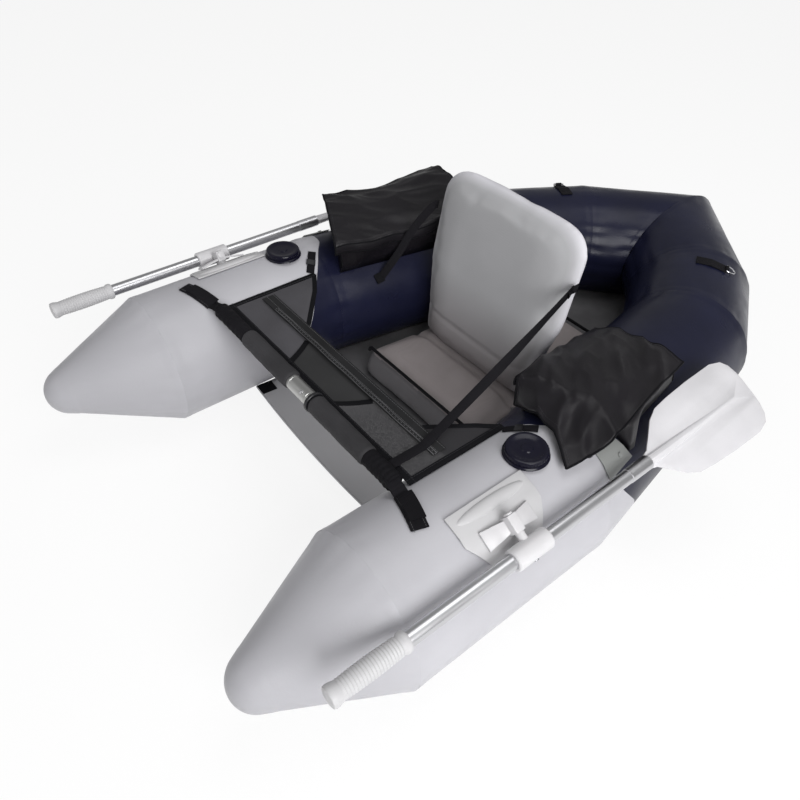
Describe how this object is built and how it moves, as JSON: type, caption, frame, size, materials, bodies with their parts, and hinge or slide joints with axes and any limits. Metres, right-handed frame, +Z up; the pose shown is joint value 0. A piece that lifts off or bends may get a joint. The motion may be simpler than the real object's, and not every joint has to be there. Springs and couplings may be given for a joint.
{
  "type": "float tube",
  "caption": "Inflatable U-shaped fishing float tube with pointed stern, cushioned seat, folding backrest, knee apron, side pockets and stowed oars in pivoting oarlocks.",
  "frame": {"origin": "middle of the boat's bounding box, on the floor", "axes": "+Z up, +Y towards the pointed stern, +X towards the angler's left hand (the angler faces -Y)"},
  "size_m": [1.1722, 1.7909, 0.5003],
  "materials": {
    "apron": "mesh, matt",
    "apron_strap_left": "webbing, matt",
    "apron_strap_right": "webbing, matt",
    "backrest": "coated, matt",
    "backrest_strap_left": "webbing, matt",
    "backrest_strap_right": "webbing, matt",
    "bar_coupler": "satin",
    "bar_lock_ring": "satin",
    "bar_rod_left": "satin",
    "bar_rod_right": "satin",
    "bar_strap_left": "webbing, matt",
    "bar_strap_right": "webbing, matt",
    "bottom_spreader": "coated sheet",
    "cargo_floor": "coated sheet",
    "collar_screw_left": "bright",
    "collar_screw_right": "bright",
    "cross_strap": "webbing, matt",
    "d_ring_left": "bright",
    "d_ring_patch_left": "webbing, matt",
    "d_ring_patch_right": "webbing, matt",
    "d_ring_right": "bright",
    "foam_sleeve_left": "closed-cell foam",
    "foam_sleeve_right": "closed-cell foam",
    "front_tube_left": "satin coated PVC",
    "front_tube_right": "satin coated PVC",
    "nose_cone_left": "satin coated PVC",
    "nose_cone_right": "satin coated PVC",
    "oar_blade_left": "satin",
    "oar_blade_right": "satin",
    "oar_clip_left": "matt",
    "oar_clip_right": "matt",
    "oar_collar_left": "satin",
    "oar_collar_right": "satin",
    "oar_grip_left": "satin",
    "oar_grip_right": "satin",
    "oar_shaft_left": "satin",
    "oar_shaft_right": "satin",
    "oarlock_base_left": "matt",
    "oarlock_base_right": "matt",
    "oarlock_pin_left": "bright",
    "oarlock_pin_right": "bright",
    "oarlock_yoke_left": "satin",
    "oarlock_yoke_right": "satin",
    "pocket_left": "nylon, matt",
    "pocket_lid_left": "nylon, matt",
    "pocket_lid_right": "nylon, matt",
    "pocket_right": "nylon, matt",
    "quarter_tube_left": "satin coated PVC",
    "quarter_tube_right": "satin coated PVC",
    "seat_cushion": "woven, matt",
    "side_tube_left": "satin coated PVC",
    "side_tube_right": "satin coated PVC",
    "stern_bulkhead": "satin coated PVC",
    "stern_tube_left": "satin coated PVC",
    "stern_tube_right": "satin coated PVC",
    "valve_body_left": "gloss",
    "valve_body_right": "gloss",
    "valve_cap_left": "gloss",
    "valve_cap_right": "gloss"
  },
  "bodies": {
    "hull": {"apron": "apron", "apron_strap_left": "apron_strap_left", "apron_strap_right": "apron_strap_right", "backrest_strap_left": "backrest_strap_left", "backrest_strap_right": "backrest_strap_right", "bar_coupler": "bar_coupler", "bar_rod_left": "bar_rod_left", "bar_rod_right": "bar_rod_right", "bar_strap_left": "bar_strap_left", "bar_strap_right": "bar_strap_right", "bottom_spreader": "bottom_spreader", "cargo_floor": "cargo_floor", "cross_strap": "cross_strap", "d_ring_patch_left": "d_ring_patch_left", "d_ring_patch_right": "d_ring_patch_right", "foam_sleeve_left": "foam_sleeve_left", "foam_sleeve_right": "foam_sleeve_right", "front_tube_left": "front_tube_left", "front_tube_right": "front_tube_right", "nose_cone_left": "nose_cone_left", "nose_cone_right": "nose_cone_right", "oar_clip_left": "oar_clip_left", "oar_clip_right": "oar_clip_right", "oarlock_base_left": "oarlock_base_left", "oarlock_base_right": "oarlock_base_right", "oarlock_pin_left": "oarlock_pin_left", "oarlock_pin_right": "oarlock_pin_right", "pocket_left": "pocket_left", "pocket_right": "pocket_right", "quarter_tube_left": "quarter_tube_left", "quarter_tube_right": "quarter_tube_right", "seat_cushion": "seat_cushion", "side_tube_left": "side_tube_left", "side_tube_right": "side_tube_right", "stern_bulkhead": "stern_bulkhead", "stern_tube_left": "stern_tube_left", "stern_tube_right": "stern_tube_right", "valve_body_left": "valve_body_left", "valve_body_right": "valve_body_right"},
    "yoke_left": {"oarlock_yoke_left": "oarlock_yoke_left"},
    "collar_left": {"oar_collar_left": "oar_collar_left", "collar_screw_left": "collar_screw_left"},
    "oar_left": {"oar_shaft_left": "oar_shaft_left", "oar_grip_left": "oar_grip_left", "oar_blade_left": "oar_blade_left"},
    "valve_cap_left": {"valve_cap_left": "valve_cap_left"},
    "pocket_lid_left": {"pocket_lid_left": "pocket_lid_left"},
    "d_ring_left": {"d_ring_left": "d_ring_left"},
    "yoke_right": {"oarlock_yoke_right": "oarlock_yoke_right"},
    "collar_right": {"oar_collar_right": "oar_collar_right", "collar_screw_right": "collar_screw_right"},
    "oar_right": {"oar_shaft_right": "oar_shaft_right", "oar_grip_right": "oar_grip_right", "oar_blade_right": "oar_blade_right"},
    "valve_cap_right": {"valve_cap_right": "valve_cap_right"},
    "pocket_lid_right": {"pocket_lid_right": "pocket_lid_right"},
    "d_ring_right": {"d_ring_right": "d_ring_right"},
    "backrest": {"backrest": "backrest"},
    "lock_ring": {"bar_lock_ring": "bar_lock_ring"}
  },
  "joints": [
    {"name": "oar_swing_left", "type": "hinge", "parent": "hull", "child": "yoke_left", "pos_m": [0.47703, -0.435, 0.2875], "axis": [0.5, 0, 0.866], "range_deg": [-115, 0]},
    {"name": "oar_lift_left", "type": "hinge", "parent": "yoke_left", "child": "collar_left", "pos_m": [0.516, -0.435, 0.265], "axis": [0.866, 0, -0.5], "range_deg": [-2, 2]},
    {"name": "oar_feather_left", "type": "hinge", "parent": "collar_left", "child": "oar_left", "pos_m": [0.516, -0.435, 0.265], "axis": [0, 1, 0], "range_deg": [-20, 75]},
    {"name": "valve_cap_turn_left", "type": "hinge", "parent": "hull", "child": "valve_cap_left", "pos_m": [0.388, -0.316, 0.2956], "axis": [0, 0, 1], "range_deg": [0, 90]},
    {"name": "pocket_lid_open_left", "type": "hinge", "parent": "hull", "child": "pocket_lid_left", "pos_m": [0.44755, -0.06354, 0.3096], "axis": [-0.1717, 0.984, -0.0473], "range_deg": [0, 95]},
    {"name": "d_ring_swing_left", "type": "hinge", "parent": "hull", "child": "d_ring_left", "pos_m": [0.26327, 0.49303, 0.28465], "axis": [0.5, -0.866, 0], "range_deg": [0, 150]},
    {"name": "oar_swing_right", "type": "hinge", "parent": "hull", "child": "yoke_right", "pos_m": [-0.47703, -0.435, 0.2875], "axis": [0.5, 0, -0.866], "range_deg": [-115, 0]},
    {"name": "oar_lift_right", "type": "hinge", "parent": "yoke_right", "child": "collar_right", "pos_m": [-0.516, -0.435, 0.265], "axis": [0.866, 0, 0.5], "range_deg": [-2, 2]},
    {"name": "oar_feather_right", "type": "hinge", "parent": "collar_right", "child": "oar_right", "pos_m": [-0.516, -0.435, 0.265], "axis": [0, -1, 0], "range_deg": [-20, 75]},
    {"name": "valve_cap_turn_right", "type": "hinge", "parent": "hull", "child": "valve_cap_right", "pos_m": [-0.388, -0.316, 0.2956], "axis": [0, 0, 1], "range_deg": [0, 90]},
    {"name": "pocket_lid_open_right", "type": "hinge", "parent": "hull", "child": "pocket_lid_right", "pos_m": [-0.43687, -0.00236, 0.36513], "axis": [-0.1717, -0.9837, -0.0542], "range_deg": [0, 95]},
    {"name": "d_ring_swing_right", "type": "hinge", "parent": "hull", "child": "d_ring_right", "pos_m": [-0.26327, 0.49303, 0.28465], "axis": [0.5, 0.866, 0], "range_deg": [0, 150]},
    {"name": "backrest_fold", "type": "hinge", "parent": "hull", "child": "backrest", "pos_m": [0, -0.083, 0.107], "axis": [1, 0, 0], "range_deg": [0, 60]},
    {"name": "lock_ring_turn", "type": "hinge", "parent": "hull", "child": "lock_ring", "pos_m": [0.0558, -0.524, 0.275], "axis": [1, 0, 0], "range_deg": [0, 90]}
  ]
}
